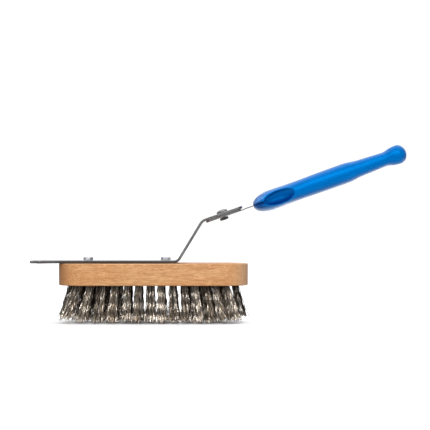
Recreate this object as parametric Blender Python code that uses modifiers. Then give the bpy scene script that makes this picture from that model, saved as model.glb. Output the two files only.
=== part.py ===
"""Wire block brush with a scraper blade and a swivelling handle.

A beech block carries three rows of crimped steel wire tufts. One steel plate
is screwed on top of it: its front end is the scraper blade, its rear end rises
to a short strap. A bolt and nut clamp the handle's tang under that strap, so
the handle can be swung sideways. The brush stands on its wire tips at Z = 0.
Metres, +Z up, scraper towards -X, handle towards +X.
"""

import math

import bmesh
import bpy
from mathutils import Vector

MM = 0.001
GAP = 0.3 * MM  # kept between pieces that touch

# origin of the brush frame: centres the whole object on X
ORIGIN_X = -1.316 * MM

# block
BLOCK_X = -68.3 * MM  # middle of the block
BLOCK_LENGTH = 200.0 * MM
BLOCK_WIDTH = 52.0 * MM
BLOCK_BOTTOM = 40.0 * MM
BLOCK_TOP = 63.0 * MM
BLOCK_EDGE = 1.2 * MM  # rounding of the long edges

# tufts: offsets from the middle of the block, along the block
OUTER_ROW = [-80, -66, -52.2, -39.7, -26.4, -14.9, -2.9, 8.2, 20.7, 32.4, 43.6, 54.8, 65.4, 76.2]
MIDDLE_ROW = [-86.8, -73.8, -59.8, -47.2, -35.2, -25.3, -14.5, -2.8, 8.8, 21, 36, 48.5, 60.5, 72.5, 86.5]
ROW_Y = 15.0 * MM  # outer rows from the middle line
ROW_SPREAD = 1.2  # tip Y over root Y
FAN = 0.09  # tips lean outwards by this part of their offset
FAN_END = 0.06  # more lean towards the ends of the outer rows
TUFT_ROOT_R = 4.15 * MM
TUFT_TIP_R = 6.1 * MM
TUFT_HOLE_DEPTH = 10.0 * MM
TUFT_SIDES = 12
TRIM_RISE = 5.0 * MM  # the end tufts are this much shorter

# bent plate
PLATE_T = 2.7 * MM
STRAP_HALF = 16.0 * MM
RISER_ANGLE = math.radians(59.0)
UPPER_ANGLE = math.radians(19.1)
LOWER_BEND_X = -42.6 * MM  # corner of the middle surfaces
UPPER_BEND = Vector((-16.4 * MM, 0.0, 107.95 * MM))
LOWER_RADIUS = 7.0 * MM
UPPER_RADIUS = 10.0 * MM
BLADE_TIP_X = -197.0 * MM
BLADE_HALF = 19.0 * MM
EAR_HALF = 26.0 * MM
STRAP_END = 21.8 * MM  # from the pivot, along the upper strap
STRAP_CORNER = 6.0 * MM

# screws that hold the plate on the block
SCREW_X = (-137.4 * MM, -55.2 * MM)
SCREW_SHANK_R = 2.0 * MM
SCREW_LENGTH = 13.7 * MM  # under the head
SCREW_HEAD_FLATS = 9.0 * MM
SCREW_HEAD_H = 3.3 * MM

# pivot: the middle of the bolt on top of the strap
PIVOT = Vector((4.5 * MM, 0.0, 116.65 * MM))
BOLT_R = 2.35 * MM
BOLT_HEAD_R = 6.0 * MM
BOLT_HEAD_H = 2.9 * MM
TANG_T = 1.0 * MM
BACKING_T = 0.7 * MM
TANG_HALF = 11.0 * MM
TANG_REAR_R = 19.3 * MM
TONGUE_HALF = 5.0 * MM
NUT_FLATS = 8.0 * MM
NUT_H = 2.8 * MM

# handle, measured along its own axis from the nose
HANDLE_NOSE = 33.6 * MM  # from the pivot
TONGUE_LENGTH = 30.0 * MM  # inside the handle
HANDLE_DROP = 0.1 * MM  # of the nose below the flat of the tang
HANDLE_TILT = math.radians(0.62)  # of the handle's axis against the strap
HANDLE_STATIONS = [  # along, half height, half width (mm)
    (0.0, 2.0, 7.5),
    (1.0, 3.9, 8.9),
    (3.0, 6.0, 11.0),
    (7.0, 8.2, 14.1),
    (12.0, 9.7, 17.0),
    (16.5, 10.5, 18.4),
    (21.0, 10.65, 19.0),
    (30.0, 10.45, 18.2),
    (40.0, 10.2, 15.8),
    (46.0, 10.2, 14.4),
    (52.0, 10.2, 13.5),
    (70.0, 10.5, 13.4),
    (90.0, 10.65, 13.2),
    (104.0, 10.6, 12.5),
    (110.0, 10.05, 12.0),
    (116.0, 9.1, 11.4),
    (125.0, 8.6, 10.8),
    (138.0, 8.0, 10.6),
    (147.5, 7.6, 10.8),
    (151.5, 8.6, 11.6),
    (155.5, 10.1, 12.6),
    (160.0, 10.8, 13.2),
    (162.5, 10.7, 13.1),
    (165.2, 9.8, 12.3),
    (167.6, 8.2, 10.6),
    (169.4, 6.0, 8.2),
    (170.6, 3.8, 5.6),
    (171.2, 1.8, 2.8),
]
HANDLE_SIDES = 24
SCOOP_AT = 30.7 * MM
SCOOP_SIZE = (19.2 * MM, 7.3 * MM, 7.4 * MM)
SCOOP_Y = 15.5 * MM  # from here outwards the scoop's walls are straight
HOLE_AT = 158.0 * MM
HOLE_HALF_LONG = 7.0 * MM
HOLE_HALF_WIDE = 4.5 * MM


def clear_scene():
    for obj in list(bpy.data.objects):
        bpy.data.objects.remove(obj, do_unlink=True)


def new_collection(name):
    collection = bpy.data.collections.new(name)
    bpy.context.scene.collection.children.link(collection)
    return collection


def new_material(name, colour, roughness, metallic=0.0):
    material = bpy.data.materials.new(name)
    material.use_nodes = True
    shader = material.node_tree.nodes["Principled BSDF"]
    shader.inputs["Base Color"].default_value = (*colour, 1.0)
    shader.inputs["Roughness"].default_value = roughness
    shader.inputs["Metallic"].default_value = metallic
    material.diffuse_color = (*colour, 1.0)
    return material


def new_empty(name, collection, parent=None, location=(0, 0, 0), rotation=(0, 0, 0)):
    empty = bpy.data.objects.new(name, None)
    empty.empty_display_size = 0.02
    collection.objects.link(empty)
    empty.parent = parent
    empty.location = location
    empty.rotation_euler = rotation
    return empty


def new_object(name, bm, collection, parent, material=None, location=(0, 0, 0), rotation=(0, 0, 0), smooth=None):
    bmesh.ops.recalc_face_normals(bm, faces=bm.faces[:])
    mesh = bpy.data.meshes.new(name)
    bm.to_mesh(mesh)
    bm.free()
    if smooth is not None:
        mesh.shade_smooth()
        mesh.set_sharp_from_angle(angle=math.radians(smooth))
    obj = bpy.data.objects.new(name, mesh)
    collection.objects.link(obj)
    obj.parent = parent
    obj.location = location
    obj.rotation_euler = rotation
    if material:
        mesh.materials.append(material)
    return obj


def make_cutter(obj):
    obj.hide_render = True
    obj.display_type = "WIRE"
    return obj


def cut(obj, cutter, name):
    modifier = obj.modifiers.new(name, "BOOLEAN")
    modifier.operation = "DIFFERENCE"
    modifier.object = cutter


def bevel(obj, width, segments=2, angle=40):
    modifier = obj.modifiers.new("edges", "BEVEL")
    modifier.width = width
    modifier.segments = segments
    modifier.limit_method = "ANGLE"
    modifier.angle_limit = math.radians(angle)


def loft(bm, rings):
    """Closed solid through rings of equal vertex count."""
    loops = [[bm.verts.new(p) for p in ring] for ring in rings]
    count = len(rings[0])
    for a, b in zip(loops, loops[1:]):
        for i in range(count):
            j = (i + 1) % count
            bm.faces.new((a[i], a[j], b[j], b[i]))
    bm.faces.new(loops[0])
    bm.faces.new(loops[-1][::-1])


def circle(centre, radius, sides, axis="Z"):
    points = []
    for i in range(sides):
        a = 2 * math.pi * i / sides
        c, s = radius * math.cos(a), radius * math.sin(a)
        if axis == "Z":
            points.append(Vector((centre[0] + c, centre[1] + s, centre[2])))
        else:
            points.append(Vector((centre[0], centre[1] + c, centre[2] + s)))
    return points


def hexagon(z, flats, sides, rounding=0.0):
    """Hexagon with a face towards -Y and +Y, as a ring of evenly spread points."""
    points = []
    apothem = flats / 2
    for i in range(sides):
        a = 2 * math.pi * i / sides
        from_flat = (a - math.pi / 2 + math.pi / 6) % (math.pi / 3) - math.pi / 6
        r = apothem / math.cos(from_flat)
        r = min(r, apothem * (1.155 - rounding))
        points.append(Vector((r * math.cos(a), r * math.sin(a), z)))
    return points


def cylinder_bm(radius, z_low, z_high, sides):
    bm = bmesh.new()
    bmesh.ops.create_cone(
        bm, cap_ends=True, segments=sides, radius1=radius, radius2=radius, depth=z_high - z_low
    )
    bmesh.ops.translate(bm, verts=bm.verts[:], vec=(0, 0, (z_low + z_high) / 2))
    return bm


def turned(name, profile, collection, parent, material, location, rotation, steps=24):
    """Solid turned about Z from (radius, height) points that run down the outer side."""
    bm = bmesh.new()
    verts = [bm.verts.new((r, 0, z)) for r, z in profile]
    for a, b in zip(verts, verts[1:]):
        bm.edges.new((a, b))
    mesh = bpy.data.meshes.new(name)
    bm.to_mesh(mesh)
    bm.free()
    obj = bpy.data.objects.new(name, mesh)
    collection.objects.link(obj)
    obj.parent = parent
    obj.location = location
    obj.rotation_euler = rotation
    mesh.materials.append(material)
    screw = obj.modifiers.new("turn", "SCREW")
    screw.axis = "Z"
    screw.angle = 2 * math.pi
    screw.steps = steps
    screw.render_steps = steps
    screw.use_merge_vertices = True
    screw.merge_threshold = 0.00001
    screw.use_smooth_shade = True
    return obj


def flat_outline(name, points, thickness, collection, parent, material, location):
    """Flat sheet of the given XY outline, centred on its own Z, as a mesh."""
    curve = bpy.data.curves.new(name, "CURVE")
    curve.dimensions = "2D"
    curve.fill_mode = "BOTH"
    curve.extrude = thickness / 2
    spline = curve.splines.new("POLY")
    spline.points.add(len(points) - 1)
    for point, (x, y) in zip(spline.points, points):
        point.co = (x, y, 0, 1)
    spline.use_cyclic_u = True
    source = bpy.data.objects.new(name + "_outline", curve)
    collection.objects.link(source)
    bpy.context.view_layer.update()
    graph = bpy.context.evaluated_depsgraph_get()
    mesh = bpy.data.meshes.new_from_object(source.evaluated_get(graph))
    bpy.data.objects.remove(source, do_unlink=True)
    bm = bmesh.new()
    bm.from_mesh(mesh)
    bpy.data.meshes.remove(mesh)
    bmesh.ops.remove_doubles(bm, verts=bm.verts[:], dist=0.000005)
    bmesh.ops.dissolve_limit(bm, angle_limit=0.001, verts=bm.verts[:], edges=bm.edges[:])
    return new_object(name, bm, collection, parent, material, location)


def arc(centre, radius, start, end, count):
    return [
        (
            centre[0] + radius * math.cos(math.radians(start + (end - start) * i / count)),
            centre[1] + radius * math.sin(math.radians(start + (end - start) * i / count)),
        )
        for i in range(count + 1)
    ]


# ---------------------------------------------------------------- block


def block_bm():
    """Stadium prism: a cylinder whose halves are moved apart."""
    sides = 48
    radius = BLOCK_WIDTH / 2 / math.cos(math.pi / sides)
    bm = cylinder_bm(radius, BLOCK_BOTTOM, BLOCK_TOP, sides)
    half_turn = math.pi / sides
    stretch = BLOCK_LENGTH / 2 - BLOCK_WIDTH / 2
    for v in bm.verts:
        a = math.atan2(v.co.y, v.co.x) + half_turn
        r = math.hypot(v.co.x, v.co.y)
        x, y = r * math.cos(a), r * math.sin(a)
        v.co.x = x + (stretch if x > 0 else -stretch)
        v.co.y = y
    return bm


# ---------------------------------------------------------------- tufts


def tuft_axes():
    """(name, root, tip, tip radius) of each tuft, in the brush frame."""
    found = []
    for row, (offsets, y) in enumerate(
        ((OUTER_ROW, -ROW_Y), (MIDDLE_ROW, 0.0), (OUTER_ROW, ROW_Y)), start=1
    ):
        tips = []
        for offset in offsets:
            share = offset / 80.0
            lean = FAN + (FAN_END * share * share if y else 0.0)
            tips.append(offset * (1 + lean))
        for i, offset in enumerate(offsets):
            near = min(b - a for a, b in zip(tips[max(i - 1, 0) :], tips[max(i, 1) : i + 2]))
            radius = min(TUFT_TIP_R, near * MM / 2 - 0.2 * MM)
            share = abs(offset) / 87.0
            rise = TRIM_RISE * max(0.0, (share - 0.72) / 0.28) ** 1.5
            root = Vector((BLOCK_X + offset * MM, y, BLOCK_BOTTOM))
            tip = Vector((BLOCK_X + tips[i] * MM, y * ROW_SPREAD, rise))
            found.append((f"tuft_r{row}_c{i + 1:02d}", root, tip, radius))
    return found


def along(root, tip, z):
    """Point of the tuft's axis at height z."""
    t = (root.z - z) / (root.z - tip.z)
    return root.lerp(tip, t)


def tuft_bm(root, tip, tip_radius):
    bm = bmesh.new()
    top = BLOCK_BOTTOM + TUFT_HOLE_DEPTH - GAP
    rings = [
        circle(tip, tip_radius, TUFT_SIDES),
        circle(root, TUFT_ROOT_R, TUFT_SIDES),
        circle(along(root, tip, top), TUFT_ROOT_R, TUFT_SIDES),
    ]
    loft(bm, rings)
    return bm


def tuft_holes_bm(axes):
    bm = bmesh.new()
    radius = TUFT_ROOT_R + GAP
    for _, root, tip, _ in axes:
        loft(
            bm,
            [
                circle(along(root, tip, BLOCK_BOTTOM - 2 * MM), radius, TUFT_SIDES),
                circle(along(root, tip, BLOCK_BOTTOM + TUFT_HOLE_DEPTH), radius, TUFT_SIDES),
            ],
        )
    return bm


# ---------------------------------------------------------------- plate


def bend_arc(corner, first, second, radius, count=6):
    """Points of an arc that rounds a corner between two unit directions, with each point's tangent angle."""
    a1, a2 = math.atan2(first.z, first.x), math.atan2(second.z, second.x)
    reach = radius * math.tan(abs(a2 - a1) / 2)
    start = corner - first * reach
    turn = 1 if a2 > a1 else -1
    centre = start + Vector((-first.z, 0, first.x)) * radius * turn
    points = []
    for i in range(count + 1):
        a = a1 + (a2 - a1) * i / count
        points.append(centre - Vector((-math.sin(a), 0, math.cos(a))) * radius * turn)
    return points


def plate_stations():
    """(point on the middle surface, half width) from the blade to the end of the upper strap."""
    z = BLOCK_TOP + GAP + PLATE_T / 2
    flat = Vector((1, 0, 0))
    riser = Vector((math.cos(RISER_ANGLE), 0, math.sin(RISER_ANGLE)))
    upper = Vector((math.cos(UPPER_ANGLE), 0, math.sin(UPPER_ANGLE)))
    tip = BLADE_TIP_X
    blade = [
        (0.0, BLADE_HALF - 1.0 * MM),
        (0.35, BLADE_HALF - 0.35 * MM),
        (1.0, BLADE_HALF),
        (6.2, BLADE_HALF),
        (6.9, BLADE_HALF + 0.4 * MM),
        (7.4, BLADE_HALF + 1.2 * MM),
        (9.3, EAR_HALF - 0.9 * MM),
        (10.0, EAR_HALF - 0.1 * MM),
        (11.0, EAR_HALF),
        (11.8, EAR_HALF - 0.5 * MM),
        (13.5, EAR_HALF - 2.4 * MM),
        (16.0, EAR_HALF - 4.7 * MM),
        (19.0, EAR_HALF - 6.7 * MM),
        (23.0, EAR_HALF - 8.6 * MM),
        (27.0, EAR_HALF - 9.7 * MM),
        (31.0, STRAP_HALF),
    ]
    stations = [(Vector((tip + s * MM, 0, z)), w) for s, w in blade]
    lower_corner = Vector((LOWER_BEND_X, 0, z))
    for p in bend_arc(lower_corner, flat, riser, LOWER_RADIUS):
        stations.append((p, STRAP_HALF))
    for p in bend_arc(UPPER_BEND, riser, upper, UPPER_RADIUS):
        stations.append((p, STRAP_HALF))
    pivot_mid = PIVOT + Vector((math.sin(UPPER_ANGLE), 0, -math.cos(UPPER_ANGLE))) * PLATE_T / 2
    for i in range(7):
        a = math.radians(90 * i / 6)
        reach = STRAP_END - STRAP_CORNER + STRAP_CORNER * math.sin(a)
        stations.append((pivot_mid + upper * reach, STRAP_HALF - STRAP_CORNER * (1 - math.cos(a))))
    return stations


def plate_bm():
    """Middle surface of the plate: an open strip that follows the bends."""
    bm = bmesh.new()
    previous = None
    for point, half in plate_stations():
        pair = (
            bm.verts.new(point + Vector((0, -half, 0))),
            bm.verts.new(point + Vector((0, half, 0))),
        )
        if previous:
            bm.faces.new((previous[0], pair[0], pair[1], previous[1]))
        previous = pair
    return bm


# ---------------------------------------------------------------- fasteners


def wood_screw_bm():
    """Hex head screw: the head's underside is at Z = 0."""
    sides = 24
    bm = bmesh.new()
    shank, tip = SCREW_SHANK_R, SCREW_LENGTH
    rings = [
        circle((0, 0, -tip), 0.4 * MM, sides),
        circle((0, 0, -tip + 2.2 * MM), shank, sides),
        circle((0, 0, 0), shank, sides),
        hexagon(0, SCREW_HEAD_FLATS, sides),
        hexagon(SCREW_HEAD_H - 0.5 * MM, SCREW_HEAD_FLATS, sides),
        hexagon(SCREW_HEAD_H, SCREW_HEAD_FLATS * 0.93, sides, 0.06),
        circle((0, 0, SCREW_HEAD_H + 0.45 * MM), SCREW_HEAD_FLATS * 0.33, sides),
        circle((0, 0, SCREW_HEAD_H + 0.65 * MM), SCREW_HEAD_FLATS * 0.16, sides),
    ]
    loft(bm, rings)
    return bm


def bolt_profile():
    head = [(0.0, GAP + BOLT_HEAD_H)]
    for i in range(1, 7):
        a = math.radians(15 * i)
        head.append((BOLT_HEAD_R * math.sin(a), GAP + 0.5 * MM + (BOLT_HEAD_H - 0.5 * MM) * math.cos(a)))
    low = -(PLATE_T + GAP + BACKING_T + GAP + TANG_T + GAP + NUT_H + 0.2 * MM)
    return head + [
        (BOLT_HEAD_R, GAP),
        (BOLT_R, GAP),
        (BOLT_R, low + 0.5 * MM),
        (BOLT_R - 0.5 * MM, low),
        (0.0, low),
    ]


# ---------------------------------------------------------------- handle


def smooth_between(stations, per_gap):
    """Stations with extra ones between them on a Catmull-Rom curve."""
    found = []
    for i in range(len(stations) - 1):
        p0 = stations[max(i - 1, 0)]
        p1, p2 = stations[i], stations[i + 1]
        p3 = stations[min(i + 2, len(stations) - 1)]
        wide = (p2[0] - p1[0]) > 8.5
        steps = per_gap if wide else 1
        for k in range(steps):
            t = k / steps
            found.append(
                tuple(
                    0.5
                    * (
                        2 * b
                        + (c - a) * t
                        + (2 * a - 5 * b + 4 * c - d) * t * t
                        + (3 * b - a - 3 * c + d) * t**3
                    )
                    if n
                    else b + (c - b) * t
                    for n, (a, b, c, d) in enumerate(zip(p0, p1, p2, p3))
                )
            )
    found.append(stations[-1])
    return found


def section(s, half_high, half_wide, sides, power=2.35):
    """Rounded section of the handle across its axis."""
    ring = []
    for i in range(sides):
        a = 2 * math.pi * i / sides
        c, n = math.cos(a), math.sin(a)
        y = half_wide * math.copysign(abs(c) ** (2 / power), c)
        z = half_high * math.copysign(abs(n) ** (2 / power), n)
        ring.append(Vector((s, y, z)))
    return ring


def handle_bm():
    bm = bmesh.new()
    rings = [
        section(s * MM, a * MM, b * MM, HANDLE_SIDES)
        for s, a, b in smooth_between(HANDLE_STATIONS, 2)
    ]
    loft(bm, rings)
    return bm


def scoop_bm(side):
    """Bowl with an oval rim that opens straight out to the side."""
    bm = bmesh.new()
    long, deep, high = SCOOP_SIZE
    levels = [(SCOOP_Y - deep * math.cos(math.radians(a)), math.sin(math.radians(a))) for a in (10, 25, 40, 55, 70, 90)]
    rings = []
    for y, grow in levels + [(30 * MM, 1.0)]:
        rings.append(
            [
                Vector(
                    (
                        SCOOP_AT + long * grow * math.cos(2 * math.pi * i / 28),
                        side * y,
                        high * grow * math.sin(2 * math.pi * i / 28),
                    )
                )
                for i in range(28)
            ]
        )
    loft(bm, rings)
    return bm


def hanging_hole_bm():
    """Oval hole with flared mouths, through the end of the handle."""
    bm = bmesh.new()
    sides = 20
    rings = []
    for z, flare in ((-14, 4.2), (-9.5, 1.7), (-7.0, 0.5), (-4.5, 0), (4.5, 0), (7.0, 0.5), (9.5, 1.7), (14, 4.2)):
        ring = []
        for i in range(sides):
            a = 2 * math.pi * i / sides
            ring.append(
                Vector(
                    (
                        HOLE_AT + (HOLE_HALF_LONG + flare * MM * 0.7) * math.cos(a),
                        (HOLE_HALF_WIDE + flare * MM * 0.7) * math.sin(a),
                        z * MM,
                    )
                )
            )
        rings.append(ring)
    loft(bm, rings)
    return bm


def box_bm(low, high):
    bm = bmesh.new()
    bmesh.ops.create_cube(bm, size=1.0)
    size = [h - l for l, h in zip(low, high)]
    middle = [(h + l) / 2 for l, h in zip(low, high)]
    bmesh.ops.scale(bm, verts=bm.verts[:], vec=size)
    bmesh.ops.translate(bm, verts=bm.verts[:], vec=middle)
    return bm


def tang_outline():
    """Rear end round about the pivot, then a taper to the tongue inside the handle."""
    reach = math.degrees(math.asin(TANG_HALF / TANG_REAR_R))
    rear = arc((0, 0), TANG_REAR_R, 180 + reach, 180 - reach, 10)
    upper = [(23.0 * MM, TANG_HALF)]
    taper_from, taper_to = 23.0 * MM, HANDLE_NOSE - 1.0 * MM
    for i in range(1, 7):
        t = i / 6
        ease = t * t * (3 - 2 * t)
        upper.append(
            (taper_from + (taper_to - taper_from) * t, TANG_HALF + (TONGUE_HALF - TANG_HALF) * ease)
        )
    end = HANDLE_NOSE + TONGUE_LENGTH
    upper += [(end - 1.5 * MM, TONGUE_HALF), (end, TONGUE_HALF - 1.5 * MM)]
    lower = [(x, -y) for x, y in reversed(upper)]
    return rear + upper + lower


def drop_at(u):
    """How far the tang's middle lies from the flat round the pivot."""
    start, end = 21.0 * MM, HANDLE_NOSE
    slope = math.tan(HANDLE_TILT)
    if u <= start:
        return 0.0
    if u >= end:
        return -HANDLE_DROP + slope * (u - end)
    t = (u - start) / (end - start)
    return -HANDLE_DROP * t * t * (3 - 2 * t) + slope * (end - start) * (t**3 - t * t)


def joggle(obj):
    """Bends the flat tang down to the handle."""
    bm = bmesh.new()
    bm.from_mesh(obj.data)
    bmesh.ops.remove_doubles(bm, verts=bm.verts[:], dist=1e-7)
    for u in (21.0, 23.0, 25.0, 27.0, 29.0, 31.0, 33.6):
        bmesh.ops.bisect_plane(
            bm,
            geom=bm.verts[:] + bm.edges[:] + bm.faces[:],
            plane_co=(u * MM, 0, 0),
            plane_no=(1, 0, 0),
            dist=1e-7,
        )
    bmesh.ops.triangulate(bm, faces=bm.faces[:])
    for v in bm.verts:
        v.co.z += drop_at(v.co.x)
    bm.to_mesh(obj.data)
    bm.free()


def backing_outline():
    half = TANG_HALF
    reach = math.degrees(math.asin(half / TANG_REAR_R))
    rear = arc((0, 0), TANG_REAR_R, 180 + reach, 180 - reach, 10)
    front = 20.0 * MM
    corner = 4.0 * MM
    top = arc((front - corner, half - corner), corner, 90, 0, 4)
    low = arc((front - corner, -half + corner), corner, 0, -90, 4)
    return rear + top + low


# ---------------------------------------------------------------- assembly


def build():
    clear_scene()
    parts = new_collection("wire_block_brush")
    cutters = new_collection("cutters")

    beech = new_material("beech", (0.60, 0.34, 0.15), 0.55)
    steel = new_material("plate_steel", (0.30, 0.30, 0.30), 0.38, 1.0)
    tang_steel = new_material("tang_steel", (0.55, 0.55, 0.55), 0.32, 1.0)
    zinc = new_material("zinc", (0.72, 0.73, 0.75), 0.28, 1.0)
    dark_zinc = new_material("dark_zinc", (0.12, 0.12, 0.13), 0.4, 1.0)
    wire = new_material("wire", (0.52, 0.48, 0.43), 0.4, 1.0)
    blue = new_material("blue_plastic", (0.005, 0.17, 0.66), 0.25)

    frame = new_empty("brush_frame", parts, location=(ORIGIN_X, 0, 0))
    bpy.context.view_layer.update()

    axes = tuft_axes()

    # block, with a blind hole for each tuft and a pilot hole for each screw
    block = new_object(
        "brush_block", block_bm(), parts, frame, beech, location=(BLOCK_X, 0, 0), smooth=30
    )
    bevel(block, BLOCK_EDGE)
    holes = make_cutter(new_object("tuft_holes", tuft_holes_bm(axes), cutters, frame))
    cut(block, holes, "tuft_holes")
    plate_top = BLOCK_TOP + GAP + PLATE_T
    head_seat = plate_top + GAP
    pilot_low = head_seat - SCREW_LENGTH - GAP
    for i, x in enumerate(SCREW_X):
        pilot = make_cutter(
            new_object(
                f"pilot_{i}",
                cylinder_bm(SCREW_SHANK_R + GAP, pilot_low, plate_top + 5 * MM, 20),
                cutters,
                frame,
                location=(x, 0, 0),
            )
        )
        cut(block, pilot, f"pilot_{i}")

    # tufts
    for name, root, tip, radius in axes:
        new_object(name, tuft_bm(root, tip, radius), parts, frame, wire, smooth=40)

    # bent plate
    plate = new_object("bracket_plate", plate_bm(), parts, frame, steel)
    thick = plate.modifiers.new("thickness", "SOLIDIFY")
    thick.thickness = PLATE_T
    thick.offset = 0.0
    thick.use_even_offset = True
    for i, x in enumerate(SCREW_X):
        through = make_cutter(
            new_object(
                f"plate_hole_{i}",
                cylinder_bm(SCREW_SHANK_R + GAP, BLOCK_TOP - 3 * MM, plate_top + 3 * MM, 20),
                cutters,
                frame,
                location=(x, 0, 0),
            )
        )
        cut(plate, through, f"screw_hole_{i}")
    tilt = (0, -UPPER_ANGLE, 0)
    pivot_hole = make_cutter(
        new_object(
            "pivot_hole",
            cylinder_bm(BOLT_R + GAP, -12 * MM, 6 * MM, 20),
            cutters,
            frame,
            location=PIVOT,
            rotation=tilt,
        )
    )
    cut(plate, pivot_hole, "pivot_hole")
    # ground edge under the blade
    blade_low = BLOCK_TOP + GAP
    ground = make_cutter(
        new_object(
            "blade_grind",
            box_bm((-12 * MM, -40 * MM, -6 * MM), (12 * MM, 40 * MM, 0)),
            cutters,
            frame,
            location=(BLADE_TIP_X, 0, blade_low + 0.5 * MM),
            rotation=(0, math.radians(20), 0),
        )
    )
    cut(plate, ground, "blade_grind")

    # block screws
    for name, x in zip(("block_screw_front", "block_screw_rear"), SCREW_X):
        new_object(
            name, wood_screw_bm(), parts, frame, zinc, location=(x, 0, head_seat), smooth=25
        )

    # pivot bolt and nut
    turned("pivot_bolt", bolt_profile(), parts, frame, zinc, PIVOT, tilt)
    nut_top = -(PLATE_T + GAP + BACKING_T + GAP + TANG_T + GAP)
    nut_bm = bmesh.new()
    bmesh.ops.create_cone(
        nut_bm,
        cap_ends=True,
        segments=6,
        radius1=NUT_FLATS / 2 / math.cos(math.pi / 6),
        radius2=NUT_FLATS / 2 / math.cos(math.pi / 6),
        depth=NUT_H,
    )
    bmesh.ops.translate(nut_bm, verts=nut_bm.verts[:], vec=(0, 0, nut_top - NUT_H / 2))
    nut = new_object("pivot_nut", nut_bm, parts, frame, dark_zinc, location=PIVOT, rotation=tilt)
    bevel(nut, 0.3 * MM, 1)
    cut(nut, pivot_hole, "thread")

    # handle: everything below turns about the pivot
    swivel = new_empty("swivel_axis", parts, frame, PIVOT, tilt)
    bpy.context.view_layer.update()
    tang_z = -(PLATE_T + GAP + BACKING_T + GAP + TANG_T / 2)
    tang = flat_outline(
        "handle_tang", tang_outline(), TANG_T, parts, swivel, tang_steel, (0, 0, tang_z)
    )
    joggle(tang)
    cut(tang, pivot_hole, "pivot_hole")
    backing_z = -(PLATE_T + GAP + BACKING_T / 2)
    backing = flat_outline(
        "tang_backing_plate", backing_outline(), BACKING_T, parts, swivel, tang_steel, (0, 0, backing_z)
    )
    cut(backing, pivot_hole, "pivot_hole")

    nose = (HANDLE_NOSE, 0, tang_z - HANDLE_DROP)
    lean = (0, -HANDLE_TILT, 0)
    grip = new_object(
        "handle_grip", handle_bm(), parts, swivel, blue, location=nose, rotation=lean, smooth=50
    )
    for side, name in ((-1, "scoop_left"), (1, "scoop_right")):
        scoop = make_cutter(new_object(name, scoop_bm(side), cutters, swivel, location=nose, rotation=lean))
        cut(grip, scoop, name)
    slot = make_cutter(
        new_object(
            "tongue_slot",
            box_bm(
                (-5 * MM, -TONGUE_HALF - GAP, -TANG_T / 2 - GAP),
                (TONGUE_LENGTH + GAP, TONGUE_HALF + GAP, TANG_T / 2 + GAP),
            ),
            cutters,
            swivel,
            location=nose,
            rotation=lean,
        )
    )
    cut(grip, slot, "tongue_slot")
    hole = make_cutter(
        new_object(
            "hanging_hole", hanging_hole_bm(), cutters, swivel, location=nose, rotation=lean
        )
    )
    cut(grip, hole, "hanging_hole")
    bpy.context.view_layer.update()


build()
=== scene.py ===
"""Looks of the wire block brush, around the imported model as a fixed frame.

Every mesh is made here in metres, in the row frame. Lengths in the constants
below are in millimetres, in the brush frame, whose X is ROW_X further left.
"""

import math
import random

import bmesh
import bpy
import numpy as np
from mathutils import Matrix, Vector


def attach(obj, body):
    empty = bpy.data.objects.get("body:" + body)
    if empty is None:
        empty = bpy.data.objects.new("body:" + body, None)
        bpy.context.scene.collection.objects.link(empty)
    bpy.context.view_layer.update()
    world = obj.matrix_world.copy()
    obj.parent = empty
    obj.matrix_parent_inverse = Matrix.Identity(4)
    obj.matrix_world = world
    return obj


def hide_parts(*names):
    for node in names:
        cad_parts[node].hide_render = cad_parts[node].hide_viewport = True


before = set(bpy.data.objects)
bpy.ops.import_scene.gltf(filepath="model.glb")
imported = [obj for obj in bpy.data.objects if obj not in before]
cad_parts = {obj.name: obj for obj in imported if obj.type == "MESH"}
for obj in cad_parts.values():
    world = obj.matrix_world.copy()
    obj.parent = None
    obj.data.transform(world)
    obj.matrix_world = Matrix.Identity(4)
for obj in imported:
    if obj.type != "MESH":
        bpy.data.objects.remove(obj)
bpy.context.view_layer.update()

MM = 0.001
ROW_X = -1.316  # brush frame to row frame

# block
BLOCK_X, BLOCK_LENGTH, BLOCK_WIDTH = -68.3, 200.0, 52.0
BLOCK_BOTTOM, BLOCK_TOP = 40.0, 63.0
BLOCK_EDGE = 0.9

# tufts: offsets from the middle of the block
OUTER_ROW = [-80, -66, -52.2, -39.7, -26.4, -14.9, -2.9, 8.2, 20.7, 32.4, 43.6, 54.8, 65.4, 76.2]
MIDDLE_ROW = [-86.8, -73.8, -59.8, -47.2, -35.2, -25.3, -14.5, -2.8, 8.8, 21, 36, 48.5, 60.5, 72.5, 86.5]
TUFT_ROOT_R, TUFT_TIP_R, HOLE_R, HOLE_DEPTH = 4.15, 6.1, 4.45, 10.0
WIRES = 48
WIRE_R = 0.33
CRIMP = 13.0
CRIMP_AT = 17.8  # height at which the crimp leans back the most

# plate
PLATE_T = 2.7
PLATE_MID_Z = 64.65
STRAP_HALF = 16.0
RISER, UPPER = math.radians(59.0), math.radians(19.1)
BLADE_TIP = -197.0
BLADE_HALF, EAR_HALF = 19.0, 26.0
SCREWS = (-137.4, -55.2)
PIVOT = Vector((4.5, 0.0, 116.65))
STRAP_END = 21.8

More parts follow.
